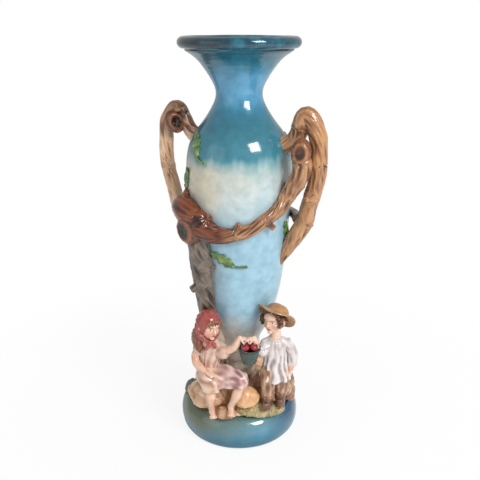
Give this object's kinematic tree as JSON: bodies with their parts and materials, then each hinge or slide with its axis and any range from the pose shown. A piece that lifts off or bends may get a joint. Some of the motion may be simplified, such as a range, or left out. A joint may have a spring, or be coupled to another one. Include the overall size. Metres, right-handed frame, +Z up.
{
  "type": "ceramic figural vase",
  "caption": "Tall glazed ceramic vase with a trumpet mouth, branch handles and two children carrying a basket on a rocky foot.",
  "frame": {"origin": "centre of the resting face, on the surface that the vase stands on", "axes": "+Z up along the vase's axis; -Y towards the front, where the figures are"},
  "size_m": [0.1675, 0.133, 0.42],
  "materials": {
    "teal": "teal lead glaze, glossy",
    "darkTeal": "dark teal glaze, glossy",
    "neckBlue": "sky blue glaze, glossy",
    "cream": "cream glaze shading to pale blue",
    "paleBlue": "pale blue glaze, glossy",
    "bark": "brown glaze over modelled bark",
    "darkBark": "dark brown glaze",
    "tanBark": "tan glaze over modelled bark",
    "leaf": "green glaze",
    "rock": "tan painted rock",
    "ochre": "golden ochre glaze",
    "olive": "olive painted rock",
    "brownRock": "brown painted rock",
    "skin": "flesh coloured enamel",
    "auburn": "auburn enamel",
    "redCloth": "red-pink enamel",
    "mauve": "mauve enamel",
    "blouse": "pale pink enamel",
    "white": "white enamel",
    "brownCloth": "brown enamel",
    "basket": "dark green glaze",
    "fruit": "crimson glaze"
  },
  "bodies": {
    "root": {"foot_plinth": "teal", "rock_mound": "rock", "stem_cup": "paleBlue", "lower_body": "paleBlue", "belly_wall": "cream", "shoulder_wall": "teal", "neck_wall": "neckBlue", "mouth_flare": "teal", "lip_roll": "darkTeal", "left_handle": "tanBark", "right_handle": "tanBark", "tree_trunk": "bark", "crossing_bough": "bark", "back_bough": "bark", "trunk_knot": "darkBark", "right_knot": "darkBark", "left_knot": "darkBark", "leaf_left_shoulder": "leaf", "leaf_left_belly": "leaf", "leaf_right_shoulder": "leaf", "leaf_right_belly": "leaf", "leaf_front": "leaf", "leaf_back_left": "leaf", "leaf_back_right": "leaf", "left_seat_rock": "rock", "right_rock": "rock", "back_rock": "rock", "front_boulder": "ochre", "left_stone": "olive", "right_stone": "brownRock", "front_stone": "brownRock", "front_moss": "leaf", "left_torso": "blouse", "left_head": "skin", "left_kerchief": "redCloth", "left_hair": "auburn", "left_near_thigh": "mauve", "left_far_thigh": "mauve", "left_near_shin": "skin", "left_far_shin": "skin", "left_resting_arm": "skin", "left_raised_arm": "skin", "right_tunic": "white", "right_head": "skin", "right_hair": "auburn", "right_near_leg": "brownCloth", "right_far_leg": "brownCloth", "right_near_boot": "darkBark", "right_far_boot": "darkBark", "right_hanging_arm": "white", "right_raised_arm": "white", "basket_bowl": "basket", "basket_handle": "basket", "fruit_1": "fruit", "fruit_2": "fruit", "fruit_3": "fruit"}
  },
  "joints": []
}
